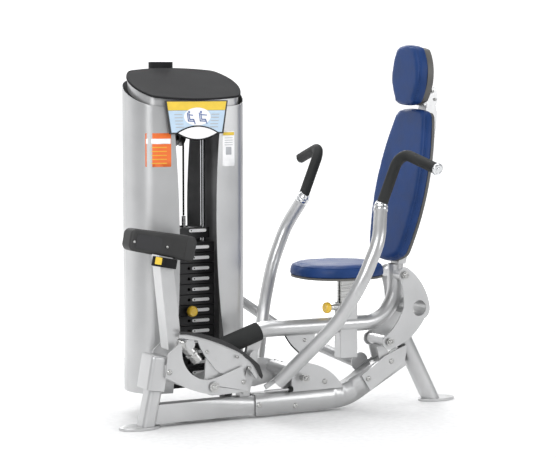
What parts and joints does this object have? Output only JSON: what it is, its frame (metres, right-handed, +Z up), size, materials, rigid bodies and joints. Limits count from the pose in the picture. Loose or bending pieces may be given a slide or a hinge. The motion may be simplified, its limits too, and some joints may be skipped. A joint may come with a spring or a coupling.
{
  "type": "selectorized chest press machine",
  "caption": "Seated chest press with a shrouded selector weight stack, two curved press arms and a seat carriage that rocks on links as the arms are pressed.",
  "frame": {"origin": "on the floor, midway between the two foot plates and between the two press arms, which is the centre of the footprint", "axes": "+X from the front foot to the rear foot, so the seated user faces -X; +Y to the user's right, towards the weight tower; +Z up"},
  "size_m": [1.478, 1.0764, 1.437],
  "materials": {
    "silver_paint": "satin silver powder coat",
    "black_paint": "satin black powder coat",
    "cast_plates": "matt black paint on cast iron",
    "bright_steel": "zinc plated",
    "chrome_rod": "polished",
    "charcoal_plastic": "fine grain",
    "black_polymer": "satin",
    "black_rubber": "matt",
    "yellow_knob": "glossy",
    "placard_sheet": null,
    "blue_vinyl": "coated vinyl",
    "grey_shell": "moulded"
  },
  "bodies": {
    "frame": {"front_foot": "silver_paint", "rear_foot": "silver_paint", "front_leg": "silver_paint", "front_saddle": "silver_paint", "guard_plates": "silver_paint", "front_rail": "silver_paint", "rear_rail": "silver_paint", "rear_leg": "silver_paint", "rail_end_plates": "silver_paint", "rear_pivot": "silver_paint", "hub_bracket": "silver_paint", "front_pivot_bracket": "silver_paint", "pivot_shafts": "bright_steel", "tower_brace": "silver_paint", "front_shrouds": "silver_paint", "rear_shrouds": "silver_paint", "tower_frame": "black_paint", "tower_base": "silver_paint", "tower_cap": "charcoal_plastic", "cap_rim": "silver_paint", "bottle_holder": "charcoal_plastic", "placard": "placard_sheet", "guide_rods": "chrome_rod", "stack_bumpers": "black_rubber", "resting_plates": "cast_plates", "pulley_bracket": "black_paint", "stack_cable": "black_rubber"},
    "weight_stack": {"lifted_plates": "cast_plates", "head_plate": "cast_plates", "selector_stem": "bright_steel"},
    "top_pulley": {"top_pulley": "black_polymer"},
    "selector_pin": {"selector_pin": "yellow_knob"},
    "cam_lever": {"cam_plates": "silver_paint", "cam_rim": "black_polymer", "counterweight_arm": "silver_paint", "counterweight": "cast_plates", "counterweight_cover": "charcoal_plastic", "pin_holder": "charcoal_plastic"},
    "press_arms": {"arm_yoke": "silver_paint", "left_arm": "silver_paint", "right_arm": "silver_paint", "left_grip": "black_rubber", "right_grip": "black_rubber", "grip_rings": "chrome_rod"},
    "rear_link": {"rear_link": "silver_paint"},
    "front_link": {"front_link": "silver_paint"},
    "carriage": {"carriage_tube": "silver_paint", "carriage_shaft": "bright_steel", "foot_tube": "black_rubber", "seat_sleeve": "silver_paint", "back_spine": "silver_paint", "back_shell": "grey_shell", "back_pad": "blue_vinyl", "head_bracket": "silver_paint", "head_shell": "grey_shell", "head_pad": "blue_vinyl"},
    "seat": {"seat_post": "bright_steel", "seat_base": "grey_shell", "seat_pad": "blue_vinyl"},
    "seat_pin": {"seat_pin": "yellow_knob"}
  },
  "joints": [
    {"name": "press_arm_swing", "type": "hinge", "parent": "frame", "child": "press_arms", "pos_m": [0.013, 0, 0.147], "axis": [0, -1, 0], "range_deg": [0, 22]},
    {"name": "rear_link_swing", "type": "hinge", "parent": "frame", "child": "rear_link", "pos_m": [0.388, 0, 0.264], "axis": [0, -1, 0], "range_deg": [0, 11.2]},
    {"name": "carriage_tilt", "type": "hinge", "parent": "rear_link", "child": "carriage", "pos_m": [0.457, 0, 0.527], "axis": [0, -1, 0], "range_deg": [-10.9, 0]},
    {"name": "front_link_swing", "type": "hinge", "parent": "frame", "child": "front_link", "pos_m": [-0.225, 0, 0.115], "axis": [0, -1, 0], "range_deg": [0, 21.6]},
    {"name": "cam_swing", "type": "hinge", "parent": "frame", "child": "cam_lever", "pos_m": [-0.382, 0, 0.146], "axis": [0, -1, 0], "range_deg": [0, 5.6]},
    {"name": "stack_lift", "type": "slide", "parent": "frame", "child": "weight_stack", "axis": [0, 0, 1], "range_m": [0, 0.252], "deforming": ["stack_cable"]},
    {"name": "top_pulley_spin", "type": "hinge", "parent": "frame", "child": "top_pulley", "pos_m": [-0.358, 0.298, 1.098], "axis": [-1, 0, 0], "range_deg": [0, 276]},
    {"name": "selector_pin_pull", "type": "slide", "parent": "weight_stack", "child": "selector_pin", "axis": [0, -1, 0], "range_m": [0, 0.07]},
    {"name": "seat_height", "type": "slide", "parent": "carriage", "child": "seat", "axis": [0, 0, 1], "range_m": [-0.05, 0.08]},
    {"name": "seat_pin_pull", "type": "slide", "parent": "carriage", "child": "seat_pin", "axis": [-1, 0, 0], "range_m": [0, 0.012], "stiffness_N_per_m": 800, "springref_m": -0.004}
  ],
  "couplings": [
    {"joint": "rear_link_swing", "follows": "press_arm_swing", "ratio": 0.5},
    {"joint": "carriage_tilt", "follows": "press_arm_swing", "ratio": -0.486},
    {"joint": "front_link_swing", "follows": "press_arm_swing", "ratio": 0.9735},
    {"joint": "cam_swing", "follows": "press_arm_swing", "ratio": 0.25},
    {"joint": "stack_lift", "follows": "press_arm_swing", "m_per_rad": 0.651},
    {"joint": "top_pulley_spin", "follows": "press_arm_swing", "ratio": 12.52}
  ]
}
